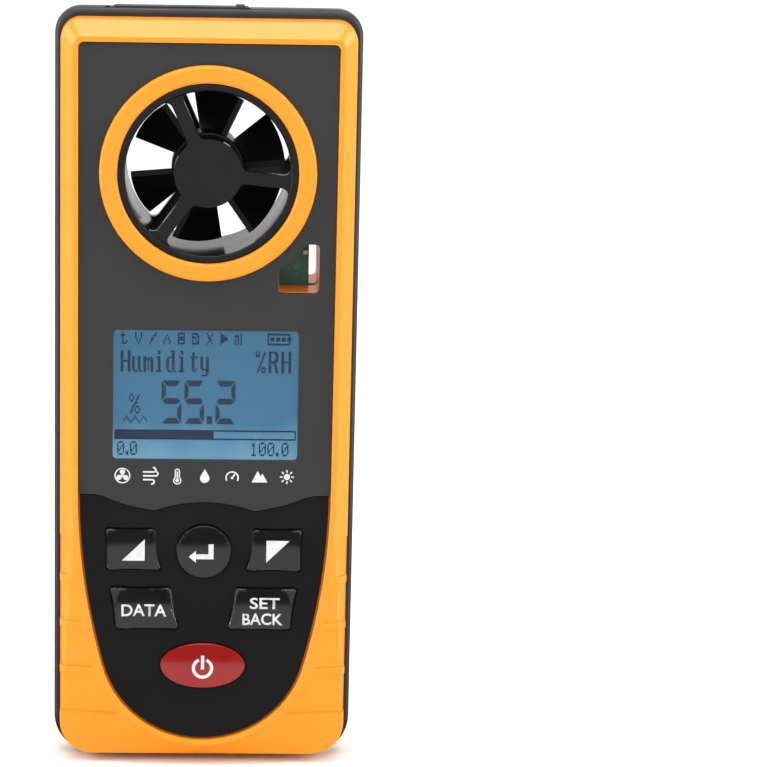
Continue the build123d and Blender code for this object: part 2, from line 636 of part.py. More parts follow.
def make_rotor_shaft():
    return disc(SHAFT_RADIUS, 0, FAN_Z, -SHAFT_HALF, SHAFT_HALF)


def make_rotor_magnet():
    return tube(4.4, 2.0, 0, FAN_Z, ROTOR_HALF, ROTOR_HALF + 1.2)


def make_vane_sensor():
    return block(3.65, 5.35, REAR - 3.6, REAR - 2.05, FAN_Z - 1.5, FAN_Z + 1.5)


def make_vane_lead():
    return block(-2.5, 2.5, BOARD_BACK, BOARD_BACK + 0.3, 86.0, FAN_Z - DUCT_OUTER - 0.25)


# ---------------------------------------------------------------- battery bay

def make_battery_tray():
    floor_front = REAR_WALL - 1.5 - CELL_THICK - 0.9
    body = slab(rounded(-13.2, 13.2, BAY_LOW - 1.2, BAY_HIGH + 1.2, 2.5), floor_front, REAR_WALL - 1.5)
    for z in CELL_CENTRES:
        body = body - disc(CELL_RADIUS + 0.35, 0, z, floor_front + 0.9, REAR)
    for hand in (-1, 1):
        span = sorted((hand * 9.0, hand * 13.3))
        side_wall = 0.9 if hand > 0 else 0
        for z in CELL_CENTRES:
            body = body - block(span[0], span[1] - side_wall, floor_front + 0.9, REAR, z - 3, z + 3)
    return body - block(-3.0, 3.0, floor_front + 0.9, REAR, 40, 50)


def cell_front():
    return REAR_WALL - 1.5 - CELL_THICK + 0.2


def make_coin_cell(z):
    can = disc(CELL_RADIUS, 0, z, cell_front() + 0.5, cell_front() + CELL_THICK)
    can = fillet(can.edges().group_by(Axis.Y)[-1], 0.4)
    return can + disc(CELL_RADIUS - 1.3, 0, z, cell_front(), cell_front() + 0.6)


def make_contact_strip(z, width):
    """Thin plated strip on the floor of the tray, under a cell."""
    floor = REAR_WALL - 1.5 - CELL_THICK
    return block(-width / 2, width / 2, floor, floor + 0.2, z - 6, z + 6)


def make_contact_link():
    """Strip that joins the two cells in the bridge of the tray."""
    floor = REAR_WALL - 1.5 - CELL_THICK
    return block(-1.6, 1.6, floor, floor + 0.18, 42.2, 47.8)


# ---------------------------------------------------------------- door

def make_battery_door():
    plate = slab(door_outline(), DOOR_FACE - DOOR_THICK, DOOR_FACE)
    plate = fillet(plate.edges().group_by(Axis.Y)[-1], 0.3)
    label = rounded(-LABEL_HALF, LABEL_HALF, LABEL_LOW, LABEL_HIGH, 1.1)
    plate = plate - slab(label, DOOR_FACE - LABEL_DEPTH, REAR + 1)
    for hand in (-1, 1):
        span = sorted((hand * 8.2, hand * 12.8))
        plate = plate + block(*span, REAR_WALL - 1.2, DOOR_FACE - DOOR_THICK + 0.1, 80.4, 82.3)
        plate = plate + block(*span, REAR_WALL - 1.2, REAR_WALL - 0.2, 80.4, 84.2)
    plate = plate + disc(4.2, 0, DOOR_SCREW_Z, REAR_WALL - 1.4, DOOR_FACE - 0.5)
    plate = plate - disc(1.75, 0, DOOR_SCREW_Z, 0, REAR + 1)
    return plate - disc(SCREW_HEAD + 0.2, 0, DOOR_SCREW_Z, DOOR_FACE - 1.45, REAR + 1)


def make_door_pad():
    """Foam strip that holds the cells down."""
    return slab(rounded(-6, 6, 28, 62, 1.0), cell_front() + CELL_THICK + 0.1, DOOR_FACE - DOOR_THICK)


def make_door_nut():
    return tube(2.1, 1.62, 0, DOOR_SCREW_Z, 4.4, REAR_WALL - 1.5)


def make_door_screw():
    head = disc(SCREW_HEAD, 0, DOOR_SCREW_Z, DOOR_FACE - 1.4, DOOR_FACE)
    head = fillet(head.edges().group_by(Axis.Y)[-1], 0.7)
    shank = disc(1.45, 0, DOOR_SCREW_Z, 6.6, DOOR_FACE - 1.3)
    tip = shank.edges().group_by(Axis.Y)[0]
    return head + chamfer(tip, 0.3) - phillips(0, DOOR_SCREW_Z, DOOR_FACE, 0.9, 1.75, 0.75)


# ---------------------------------------------------------------- fasteners and flap

def make_case_screws():
    screws = []
    for x, z in case_screw_places():
        head = disc(2.45, x, z, 4.25, 5.75)
        head = fillet(head.edges().group_by(Axis.Y)[-1], 0.6)
        shank = disc(1.0, x, z, DECK_BACK + 1.2, 4.4)
        screws.append(head + shank - phillips(x, z, 5.75, 0.9, 1.35, 0.6))
    return Compound(children=[screw.solid() for screw in screws])


def make_board_screws():
    screws = []
    for x, z in board_screw_places():
        head = disc(1.7, x, z, BOARD_BACK, BOARD_BACK + 1.0)
        shank = disc(0.75, x, z, DECK_BACK + 0.5, BOARD_BACK + 0.2)
        screws.append(head + shank - phillips(x, z, BOARD_BACK + 1.0, 0.5, 0.9, 0.4))
    return Compound(children=[screw.solid() for screw in screws])


def make_port_flap():
    cut = block(FLAP_LEFT, FLAP_RIGHT, -FLAP_HALF, FLAP_HALF, POCKET_FLOOR + 0.1, HEIGHT + 1)
    body = band_solid(FLAP_PROUD) & cut
    knuckle = Pos(FLAP_LEFT, 0, FLAP_PIN_Z) * Rot(90, 0, 0) * Cylinder(KNUCKLE_RADIUS, 2 * FLAP_HALF)
    body = body + knuckle
    nub = block(4.9, 6.6, -FLAP_HALF + 0.2, FLAP_HALF - 0.2, HEIGHT - 0.5, HEIGHT + 0.55)
    body = body + fillet(nub.edges().group_by(Axis.Z)[-1], 0.25)
    bore = Pos(FLAP_LEFT, 0, FLAP_PIN_Z) * Rot(90, 0, 0) * Cylinder(FLAP_PIN_RADIUS + RUNNING_GAP, 6)
    return body - bore


def make_flap_pin():
    return Pos(FLAP_LEFT, 0, FLAP_PIN_Z) * Rot(90, 0, 0) * Cylinder(FLAP_PIN_RADIUS, 3.9)


# ---------------------------------------------------------------- build

def make_parts():
    parts = {
        "front_shell": make_front_shell(),
        "rear_shell": make_rear_shell(),
        "middle_frame": make_middle_frame(),
        "display_panel": make_display_panel(),
        "keypad_fascia": make_keypad_fascia(),
        "screen_window": make_screen_window(),
        "screen_glass": make_screen_glass(),
        "screen_backlight": make_screen_backlight(),
        "screen_frame": make_screen_frame(),
        "screen_connector": make_screen_connector(),
        "keypad_mat": make_keypad_mat(),
        "dome_switches": make_dome_switches(),
        "main_board": make_main_board(),
        "board_chips": make_board_chips(),
        "pressure_sensor": make_pressure_sensor(),
        "data_socket": make_data_socket(),
        "sensor_board": make_sensor_board(),
        "humidity_sensor": make_humidity_sensor(),
        "thermistor": make_thermistor(),
        "vane_frame_front": make_vane_frame_front(),
        "vane_frame_rear": make_vane_frame_rear(),
        "vane_bearing_front": make_bearing(True),
        "vane_bearing_rear": make_bearing(False),
        "vane_sensor": make_vane_sensor(),
        "vane_sensor_lead": make_vane_lead(),
        "rotor": make_rotor(),
        "rotor_shaft": make_rotor_shaft(),
        "rotor_magnet": make_rotor_magnet(),
        "battery_tray": make_battery_tray(),
        "coin_cell_lower": make_coin_cell(CELL_CENTRES[0]),
        "coin_cell_upper": make_coin_cell(CELL_CENTRES[1]),
        "contact_lower": make_contact_strip(CELL_CENTRES[0], 3.0),
        "contact_upper": make_contact_strip(CELL_CENTRES[1], 3.0),
        "contact_link": make_contact_link(),
        "battery_door": make_battery_door(),
        "door_pad": make_door_pad(),
        "door_nut": make_door_nut(),
        "door_screw": make_door_screw(),
        "case_screws": make_case_screws(),
        "board_screws": make_board_screws(),
        "port_flap": make_port_flap(),
        "flap_pin": make_flap_pin(),
    }
    for name in KEY_CENTRES:
        parts["key_" + name] = make_key(name)
    return parts


os.makedirs("parts", exist_ok=True)
for node, shape in make_parts().items():
    export_step(shape, "parts/" + node + ".step")
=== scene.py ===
import bpy
import bmesh
import math
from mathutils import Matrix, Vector
from mathutils.bvhtree import BVHTree


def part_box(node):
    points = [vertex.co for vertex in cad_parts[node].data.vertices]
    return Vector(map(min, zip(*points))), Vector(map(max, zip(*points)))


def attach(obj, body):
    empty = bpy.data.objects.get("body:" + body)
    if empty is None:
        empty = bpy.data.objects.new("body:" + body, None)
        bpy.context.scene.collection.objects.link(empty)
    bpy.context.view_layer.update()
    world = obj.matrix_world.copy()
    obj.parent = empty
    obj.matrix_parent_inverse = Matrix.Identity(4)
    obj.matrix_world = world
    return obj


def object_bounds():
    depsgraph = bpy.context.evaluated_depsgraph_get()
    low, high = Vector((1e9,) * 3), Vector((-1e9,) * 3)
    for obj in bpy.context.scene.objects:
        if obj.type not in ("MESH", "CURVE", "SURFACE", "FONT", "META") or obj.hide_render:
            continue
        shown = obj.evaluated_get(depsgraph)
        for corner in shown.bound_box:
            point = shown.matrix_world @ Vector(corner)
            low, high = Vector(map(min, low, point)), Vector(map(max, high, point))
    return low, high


# Handheld weather meter, standing upright on a pale floor.
# Lengths given in millimetres are turned into metres with MM.  X is to the right seen from
# the front, the face with the screen looks along -Y, and Z is up.

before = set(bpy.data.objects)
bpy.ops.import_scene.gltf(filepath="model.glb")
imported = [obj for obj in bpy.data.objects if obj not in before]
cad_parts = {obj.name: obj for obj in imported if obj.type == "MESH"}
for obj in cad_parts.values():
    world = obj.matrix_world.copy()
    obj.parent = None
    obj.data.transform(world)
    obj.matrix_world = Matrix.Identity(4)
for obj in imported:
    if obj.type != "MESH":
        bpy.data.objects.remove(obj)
cad_low, cad_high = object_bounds()

MM = 0.001
MIDDLE_Z = (cad_low.z + cad_high.z) / 2


def add_object(name, data):
    """Put a new object into the scene."""
    made = bpy.data.objects.new(name, data)
    bpy.context.scene.collection.objects.link(made)
    return made


# ---------------------------------------------------------------- camera, lights, floor

CAMERA_DISTANCE = 0.8       # metres; angles are in degrees, the lens and sensor in millimetres
CAMERA_ELEVATION = 11.3
CAMERA_AZIMUTH = -0.4
CAMERA_ROLL = 0.67
CAMERA_TURN = 2.443         # the meter stands left of the middle of the picture
CAMERA_LENS = 195.9
CAMERA_SENSOR = 36.0
CAMERA_CLIP = (0.05, 50)

METER_MIDDLE = (0, 0, 0.07)
LIGHTS = (                  # name, place, size, power in watts and the point it is aimed at
    ("left_strip", (-0.75, -0.12, 0.25), (0.25, 0.9), 4.0, METER_MIDDLE),
    ("right_strip", (0.75, -0.12, 0.25), (0.25, 0.9), 4.0, METER_MIDDLE),
    ("top_light", (0.0, -0.12, 0.95), (0.9, 0.35), 5.0, METER_MIDDLE),
    ("front_light", (-0.2, -0.9, 0.75), (0.8, 0.4), 0.9, METER_MIDDLE),
    ("floor_wash", (0.0, -2.2, 1.3), (3.0, 2.0), 22.0, (0.0, -2.3, 0.0)),
    ("floor_wash", (0.0, 2.2, 1.3), (3.0, 2.0), 22.0, (0.0, 2.3, 0.0)),
)

WORLD_STRENGTH = 0.78
WORLD_LOW = (0.33, (0.03, 0.03, 0.03, 1))       # share of the way from straight down to up, colour
WORLD_HIGH = (0.36, (0.9, 0.9, 0.91, 1))
FLOOR_HALF = 6.0
FLOOR_DROP = 0.02           # millimetres under the lowest point of the meter


def add_camera():
    """A long lens, a little above the meter, with the meter in the left half of the frame."""
    azimuth = math.radians(CAMERA_AZIMUTH)
    elevation = math.radians(CAMERA_ELEVATION)
    roll = math.radians(CAMERA_ROLL)
    turn = math.radians(CAMERA_TURN)
    back = Vector((
        math.sin(azimuth) * math.cos(elevation),
        -math.cos(azimuth) * math.cos(elevation),
        math.sin(elevation),
    ))
    forward = -back
    right = forward.cross(Vector((0, 0, 1))).normalized()
    up = right.cross(forward)
    right, up = right * math.cos(roll) + up * math.sin(roll), up * math.cos(roll) - right * math.sin(roll)
    forward, right = (
        forward * math.cos(turn) + right * math.sin(turn),
        right * math.cos(turn) - forward * math.sin(turn),
    )
    data = bpy.data.cameras.new("camera")
    data.lens = CAMERA_LENS
    data.sensor_width = CAMERA_SENSOR
    data.clip_start, data.clip_end = CAMERA_CLIP
    camera = add_object("camera", data)
    matrix = camera.matrix_world.copy()
    for column, axis in enumerate((right, up, -forward)):
        for row in range(3):
            matrix[row][column] = axis[row]
    place = Vector((0, 0, MIDDLE_Z)) + back * CAMERA_DISTANCE
    for row in range(3):
        matrix[row][3] = place[row]
    camera.matrix_world = matrix
    bpy.context.scene.camera = camera


def add_lights():
    for name, place, size, power, aim in LIGHTS:
        data = bpy.data.lights.new(name, "AREA")
        data.shape = "RECTANGLE"
        data.size, data.size_y = size
        data.energy = power
        light = add_object(name, data)
        light.location = place
        light.rotation_mode = "QUATERNION"
        light.rotation_quaternion = (Vector(aim) - Vector(place)).to_track_quat("-Z", "Y")


def add_world():
    """A light tent: bright all round, and dark only well below the horizon."""
    world = bpy.data.worlds.new("studio")
    bpy.context.scene.world = world
    world.use_nodes = True
    tree = world.node_tree
    background = tree.nodes["Background"]
    coords = tree.nodes.new("ShaderNodeTexCoord")
    split = tree.nodes.new("ShaderNodeSeparateXYZ")
    ramp = tree.nodes.new("ShaderNodeValToRGB")
    shift = tree.nodes.new("ShaderNodeMapRange")
    shift.inputs["From Min"].default_value = -1.0
    shift.inputs["From Max"].default_value = 1.0
    low, high = ramp.color_ramp.elements
    low.position, low.color = WORLD_LOW
    high.position, high.color = WORLD_HIGH
    tree.links.new(coords.outputs["Generated"], split.inputs["Vector"])
    tree.links.new(split.outputs["Z"], shift.inputs["Value"])
    tree.links.new(shift.outputs["Result"], ramp.inputs["Fac"])
    tree.links.new(ramp.outputs["Color"], background.inputs["Color"])
    background.inputs["Strength"].default_value = WORLD_STRENGTH


def add_floor():
    mesh = bpy.data.meshes.new("floor")
    half = FLOOR_HALF
    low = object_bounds()[0].z - FLOOR_DROP * MM
    corners = [(-half, -half, low), (half, -half, low), (half, half, low), (-half, half, low)]
    mesh.from_pydata(corners, [], [(0, 1, 2, 3)])
    floor = add_object("floor", mesh)
    material, tree, shader = new_material("floor_paper")
    tint = noise(tree, 40, 4)
    colour_between(tree, shader, tint, (0.93, 0.93, 0.93), (0.95, 0.95, 0.95))
    shader.inputs["Roughness"].default_value = 0.9
    mesh.materials.append(material)
    floor.visible_glossy = False


# ---------------------------------------------------------------- shader helpers

def new_material(name):
    material = bpy.data.materials.new(name)
    material.use_nodes = True
    tree = material.node_tree
    return material, tree, tree.nodes["Principled BSDF"]


def noise(tree, scale, detail=3.0, stretch=(1, 1, 1)):
    """Noise over the object's own coordinates; scale is in cells per metre."""
    coords = tree.nodes.new("ShaderNodeTexCoord")
    mapping = tree.nodes.new("ShaderNodeMapping")
    mapping.inputs["Scale"].default_value = stretch
    texture = tree.nodes.new("ShaderNodeTexNoise")
    texture.inputs["Scale"].default_value = scale
    texture.inputs["Detail"].default_value = detail
    tree.links.new(coords.outputs["Object"], mapping.inputs["Vector"])
    tree.links.new(mapping.outputs["Vector"], texture.inputs["Vector"])
    return texture.outputs["Fac"]


def spread(tree, value, low, high):
    """Map the middle of a noise, 0.3 to 0.7, to the range low to high."""
    node = tree.nodes.new("ShaderNodeMapRange")
    node.inputs["From Min"].default_value = 0.3
    node.inputs["From Max"].default_value = 0.7
    node.inputs["To Min"].default_value = low
    node.inputs["To Max"].default_value = high
    tree.links.new(value, node.inputs["Value"])
    return node.outputs["Result"]


def mix_colours(tree, value, first, second):
    node = tree.nodes.new("ShaderNodeMix")
    node.data_type = "RGBA"
    node.inputs["A"].default_value = (*first, 1)
    node.inputs["B"].default_value = (*second, 1)
    tree.links.new(value, node.inputs["Factor"])
    return node.outputs["Result"]


def colour_between(tree, shader, value, first, second):
    mixed = mix_colours(tree, spread(tree, value, 0, 1), first, second)
    tree.links.new(mixed, shader.inputs["Base Color"])


def add_heights(tree, first, second, share):
    node = tree.nodes.new("ShaderNodeMath")
    node.operation = "MULTIPLY_ADD"
    node.inputs[1].default_value = share
    tree.links.new(second, node.inputs[0])
    tree.links.new(first, node.inputs[2])
    return node.outputs["Value"]


def bump(tree, shader, height, depth):
    node = tree.nodes.new("ShaderNodeBump")
    node.inputs["Distance"].default_value = depth
    node.inputs["Strength"].default_value = 1.0
    tree.links.new(height, node.inputs["Height"])
    tree.links.new(node.outputs["Normal"], shader.inputs["Normal"])


def moulded(name, light, dark, rough, grain=2200, grain_depth=0.004, specular=0.5):
    """Moulded plastic or rubber: fine grain, faint flow marks, uneven gloss."""
    material, tree, shader = new_material(name)
    colour_between(tree, shader, noise(tree, 45, 4), dark, light)
    gloss = spread(tree, noise(tree, 160, 5), rough[0], rough[1])
    tree.links.new(gloss, shader.inputs["Roughness"])
    height = add_heights(tree, noise(tree, grain, 2), noise(tree, 70, 2), 3.0)
    bump(tree, shader, height, grain_depth * MM)
    shader.inputs["Specular IOR Level"].default_value = specular
    return material


def metal(name, light, dark, rough, stretch=(1, 1, 12)):
    """Plated or brushed metal with fine streaks."""
    material, tree, shader = new_material(name)
    streaks = noise(tree, 900, 4, stretch)
    colour_between(tree, shader, noise(tree, 300, 4), dark, light)
    gloss = spread(tree, streaks, rough[0], rough[1])
    tree.links.new(gloss, shader.inputs["Roughness"])
    bump(tree, shader, streaks, METAL_GRAIN_DEPTH * MM)
    shader.inputs["Metallic"].default_value = 1.0
    return material


# ---------------------------------------------------------------- materials

# Linear light colour, dark colour and range of roughness; after them, where they are not the
# usual ones, the grain in cells per metre, its depth in millimetres and the specular level.
MOULDED = {
    "case_amber": ((0.93, 0.292, 0.010), (0.92, 0.287, 0.009), (0.28, 0.34), 2600, 0.004, 0.42),
    "band_black": ((0.016, 0.016, 0.017), (0.011, 0.011, 0.012), (0.36, 0.5), 2600, 0.006),
    "panel_grey": ((0.036, 0.036, 0.03636), (0.0324, 0.0324, 0.0324), (0.5, 0.62), 3000, 0.006, 0.22),
    "keypad_black": ((0.007, 0.007, 0.007), (0.0056, 0.0056, 0.0056), (0.5, 0.6), 2600, 0.004, 0.2),
    "white_plastic": ((0.8, 0.8, 0.78), (0.74, 0.74, 0.72), (0.4, 0.5)),
    "black_plastic": ((0.02, 0.02, 0.02), (0.014, 0.014, 0.014), (0.35, 0.5)),
    "rubber_dark": ((0.03, 0.03, 0.03), (0.02, 0.02, 0.02), (0.6, 0.75), 1800, 0.01),
    "chip_black": ((0.025, 0.025, 0.027), (0.018, 0.018, 0.02), (0.45, 0.6)),
    "glass_bead": ((0.85, 0.82, 0.72), (0.75, 0.72, 0.62), (0.12, 0.2), 1500, 0.002),
    "duct_black": ((0.008, 0.008, 0.009), (0.006, 0.006, 0.006), (0.12, 0.2), 1600, 0.001, 0.3),
    "rotor_black": ((0.006, 0.006, 0.007), (0.004, 0.004, 0.005), (0.25, 0.35), 1600, 0.002, 0.25),
    "flex_brown": ((0.30, 0.13, 0.03), (0.24, 0.10, 0.02), (0.3, 0.45)),
    "foam_black": ((0.03, 0.03, 0.03), (0.015, 0.015, 0.015), (0.85, 0.95), 1400, 0.06),
    "flap_rubber": ((0.018, 0.018, 0.018), (0.012, 0.012, 0.012), (0.45, 0.6), 2200, 0.008),
    "key_black": ((0.010, 0.010, 0.010), (0.007, 0.007, 0.007), (0.10, 0.16), 1500, 0.0006),
    "key_red": ((0.30, 0.010, 0.008), (0.26, 0.006, 0.006), (0.12, 0.18), 1500, 0.0006),
}
METALS = {
    "plated_metal": ((0.78, 0.76, 0.70), (0.62, 0.60, 0.55), (0.18, 0.32)),
    "brass": ((0.80, 0.58, 0.26), (0.66, 0.46, 0.19), (0.2, 0.35)),
    "steel": ((0.70, 0.69, 0.67), (0.52, 0.51, 0.50), (0.2, 0.36)),
    "magnet_grey": ((0.35, 0.35, 0.36), (0.25, 0.25, 0.26), (0.3, 0.45)),
    "black_steel": ((0.26, 0.22, 0.20), (0.18, 0.15, 0.14), (0.3, 0.42)),
}
COATS = {                   # weight and roughness of a clear top layer
    "case_amber": (0.1, 0.25),
    "key_black": (0.6, 0.06),
    "key_red": (0.7, 0.06),
}
METAL_GRAIN_DEPTH = 0.004
LEGEND_WHITE = (0.70, 0.70, 0.69)
SCREEN_INK = (0.006, 0.006, 0.034)


def make_board_green():
    """Solder mask over copper tracks."""
    material, tree, shader = new_material("board_green")
    coords = tree.nodes.new("ShaderNodeTexCoord")
    tracks = tree.nodes.new("ShaderNodeTexVoronoi")
    tracks.distance = "MANHATTAN"
    tracks.feature = "F1"
    tracks.inputs["Scale"].default_value = 700
    tree.links.new(coords.outputs["Object"], tracks.inputs["Vector"])
    edge = tree.nodes.new("ShaderNodeMapRange")
    edge.inputs["From Min"].default_value = 0.35
    edge.inputs["From Max"].default_value = 0.42
    tree.links.new(tracks.outputs["Distance"], edge.inputs["Value"])
    mixed = mix_colours(tree, edge.outputs["Result"], (0.035, 0.30, 0.18), (0.020, 0.19, 0.11))
    tree.links.new(mixed, shader.inputs["Base Color"])
    bump(tree, shader, edge.outputs["Result"], 0.02 * MM)
    shader.inputs["Roughness"].default_value = 0.3
    return material


def make_screen_blue():
    """Back-lit panel: brighter towards the bottom, where the lamps sit."""
    material, tree, shader = new_material("screen_blue")
    low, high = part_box("screen_glass")
    coords = tree.nodes.new("ShaderNodeTexCoord")
    split = tree.nodes.new("ShaderNodeSeparateXYZ")
    tree.links.new(coords.outputs["Object"], split.inputs["Vector"])
    share = tree.nodes.new("ShaderNodeMapRange")
    share.inputs["From Min"].default_value = low.z
    share.inputs["From Max"].default_value = high.z
    tree.links.new(split.outputs["Z"], share.inputs["Value"])
    cloudy = add_heights(tree, share.outputs["Result"], noise(tree, 110, 3), 0.35)
    ramp = tree.nodes.new("ShaderNodeValToRGB")
    stops = ramp.color_ramp.elements
    stops[0].position = 0.15
    stops[0].color = (0.21, 0.47, 0.63, 1)
    stops[1].position = 0.5
    stops[1].color = (0.052, 0.165, 0.30, 1)
    top = ramp.color_ramp.elements.new(1.0)
    top.color = (0.045, 0.155, 0.265, 1)
    tree.links.new(cloudy, ramp.inputs["Fac"])
    tree.links.new(ramp.outputs["Color"], shader.inputs["Emission Color"])
    shader.inputs["Emission Strength"].default_value = 0.85
    shader.inputs["Specular IOR Level"].default_value = 0.1
    shader.inputs["Base Color"].default_value = (0.01, 0.03, 0.05, 1)
    shader.inputs["Roughness"].default_value = 0.35
    return material


def make_clear_window():
    material, tree, shader = new_material("clear_window")
    gloss = spread(tree, noise(tree, 200, 4), 0.04, 0.08)
    tree.links.new(gloss, shader.inputs["Roughness"])
    shader.inputs["Base Color"].default_value = (0.2, 0.3, 0.38, 1)
    shader.inputs["Alpha"].default_value = 0.05
    shader.inputs["Specular IOR Level"].default_value = 0.3
    return material


def make_ink(name, colour, rough):
    material, tree, shader = new_material(name)
    darker = tuple(0.85 * part for part in colour)
    colour_between(tree, shader, noise(tree, 900, 3), darker, colour)
    shader.inputs["Roughness"].default_value = rough
    shader.inputs["Specular IOR Level"].default_value = 0.15
    bump(tree, shader, noise(tree, 3000, 2), 0.002 * MM)
    return material


def make_materials():
    made = {name: moulded(name, *values) for name, values in MOULDED.items()}
    for name, values in METALS.items():
        made[name] = metal(name, *values)
    made["clear_window"] = make_clear_window()
    made["screen_blue"] = make_screen_blue()
    made["board_green"] = make_board_green()
    for name, (weight, roughness) in COATS.items():
        shader = made[name].node_tree.nodes["Principled BSDF"]
        shader.inputs["Coat Weight"].default_value = weight
        shader.inputs["Coat Roughness"].default_value = roughness
    return made


# ---------------------------------------------------------------- CAD nodes

SHARP_NODES = {
    "screen_glass", "screen_backlight", "screen_frame", "screen_connector", "main_board", "board_chips",
    "pressure_sensor", "contact_lower", "contact_upper", "contact_link", "vane_sensor", "vane_sensor_lead",
    "dome_switches", "thermistor", "flap_pin", "rotor_shaft",
}
BEVEL_WIDTHS = {
    "front_shell": 0.22, "rear_shell": 0.22, "battery_door": 0.12, "middle_frame": 0.15,
    "keypad_fascia": 0.10, "rotor": 0.12, "vane_frame_front": 0.15, "vane_frame_rear": 0.15,
}
USUAL_BEVEL = 0.08
BEVEL_ANGLE = 30            # degrees between two faces; flatter edges stay as they are
FACET_ANGLE = 0.4
WELD_GAP = 0.001


def soften_node(name):
    """Join the facets of a CAD node, round its edges a little and shade it smoothly."""
    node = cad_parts[name]
    mesh = node.data
    mesh.polygons.foreach_set("use_smooth", [True] * len(mesh.polygons))
    if "custom_normal" in mesh.attributes:
        mesh.attributes.remove(mesh.attributes["custom_normal"])
    weld = node.modifiers.new("weld", "WELD")
    weld.merge_threshold = WELD_GAP * MM
    flat = node.modifiers.new("flat", "DECIMATE")
    flat.decimate_type = "DISSOLVE"
    flat.angle_limit = math.radians(FACET_ANGLE)
    if name not in SHARP_NODES:
        bevel = node.modifiers.new("bevel", "BEVEL")
        bevel.width = BEVEL_WIDTHS.get(name, USUAL_BEVEL) * MM
        bevel.segments = 2
        bevel.limit_method = "ANGLE"
        bevel.angle_limit = math.radians(BEVEL_ANGLE)
        bevel.use_clamp_overlap = True
        bevel.miter_outer = "MITER_ARC"
    normals = node.modifiers.new("normals", "WEIGHTED_NORMAL")
    normals.keep_sharp = True
    normals.weight = 50


def paint_nodes(materials):
    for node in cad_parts.values():
        for index, old in enumerate(node.data.materials):
            node.data.materials[index] = materials[old.name]


# ---------------------------------------------------------------- shapes laid on a surface

FRONT = -1
REAR = 1
RAY_START = 0.1             # metres in front of or behind the meter
LEGEND_PROUD = 0.012        # how far a laid-on piece stands over the surface, and reaches into it
LEGEND_SINK = 0.05


def surface_of(name):
    """A function giving the front-most or rear-most Y of a CAD node at a point (x, z)."""
    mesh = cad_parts[name].data
    tree = BVHTree.FromPolygons([v.co for v in mesh.vertices], [p.vertices[:] for p in mesh.polygons])

    def find(x, z, side):
        start = Vector((x, side * RAY_START, z))
        hit = tree.ray_cast(start, Vector((0, -side, 0)))[0]
        return hit.y

    return find


def polygons_mesh(polygons):
    """Flat faces in X and Z, given in millimetres."""
    flat = bmesh.new()
    for polygon in polygons:
        corners = [flat.verts.new((x * MM, 0, z * MM)) for x, z in polygon]
        flat.faces.new(corners)
    return flat


def text_mesh(text, x_low, x_high, z_low, z_high):
    """Plain capital lettering fitted to a rectangle, as flat faces in X and Z."""
    curve = bpy.data.curves.new("lettering", "FONT")
    curve.body = text
    curve.offset = WORD_BOLD
    curve.resolution_u = 4
    carrier = add_object("lettering", curve)
    bpy.context.view_layer.update()
    mesh = bpy.data.meshes.new_from_object(carrier.evaluated_get(bpy.context.evaluated_depsgraph_get()))
    bpy.data.objects.remove(carrier)
    flat = bmesh.new()
    flat.from_mesh(mesh)
    bpy.data.meshes.remove(mesh)
    low_x = min(v.co.x for v in flat.verts)
    high_x = max(v.co.x for v in flat.verts)
    low_y = min(v.co.y for v in flat.verts)
    high_y = max(v.co.y for v in flat.verts)
    for vertex in flat.verts:
        x = x_low + (vertex.co.x - low_x) / (high_x - low_x) * (x_high - x_low)
        z = z_low + (vertex.co.y - low_y) / (high_y - low_y) * (z_high - z_low)
        vertex.co = (x * MM, 0, z * MM)
    return flat


def lay_on(name, flat, host, body, material, proud=LEGEND_PROUD, side=FRONT):
    """Lay flat faces on a CAD surface as a thin closed piece that rides with a body."""
    find = surface_of(host)
    bmesh.ops.triangulate(flat, faces=flat.faces[:])
    for vertex in flat.verts:
        vertex.co.y = find(vertex.co.x, vertex.co.z, side) + side * proud * MM
    made = bmesh.ops.extrude_face_region(flat, geom=flat.faces[:])
    moved = [item for item in made["geom"] if isinstance(item, bmesh.types.BMVert)]
    for vertex in moved:
        vertex.co.y -= side * (proud + LEGEND_SINK) * MM
    bmesh.ops.recalc_face_normals(flat, faces=flat.faces[:])
    mesh = bpy.data.meshes.new(name)
    flat.to_mesh(mesh)
    flat.free()
    mesh.materials.append(material)
    piece = add_object(name, mesh)
    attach(piece, body)


def arc_band(centre, radius, width, start, stop, steps=24):
    """A ring or part of one, as a chain of four-cornered faces; angles in degrees from +X."""
    polygons = []
    for step in range(steps):
        first = math.radians(start + (stop - start) * step / steps)
        second = math.radians(start + (stop - start) * (step + 1) / steps)
        corners = []
        for reach, angle in (
            (radius - width / 2, first), (radius + width / 2, first),
            (radius + width / 2, second), (radius - width / 2, second),
        ):
            corners.append((centre[0] + reach * math.cos(angle), centre[1] + reach * math.sin(angle)))
        polygons.append(corners)
    return polygons


def bar(start, end, width):
    """A straight stroke with square ends."""
    along = Vector((end[0] - start[0], end[1] - start[1]))
    across = Vector((-along.y, along.x)).normalized() * width / 2
    return [
        (start[0] + across.x, start[1] + across.y), (start[0] - across.x, start[1] - across.y),
        (end[0] - across.x, end[1] - across.y), (end[0] + across.x, end[1] + across.y),
    ]


def dot(centre, radius, steps=16):
    turns = [2 * math.pi * step / steps for step in range(steps)]
    return [(centre[0] + radius * math.cos(t), centre[1] + radius * math.sin(t)) for t in turns]


# ---------------------------------------------------------------- key legends

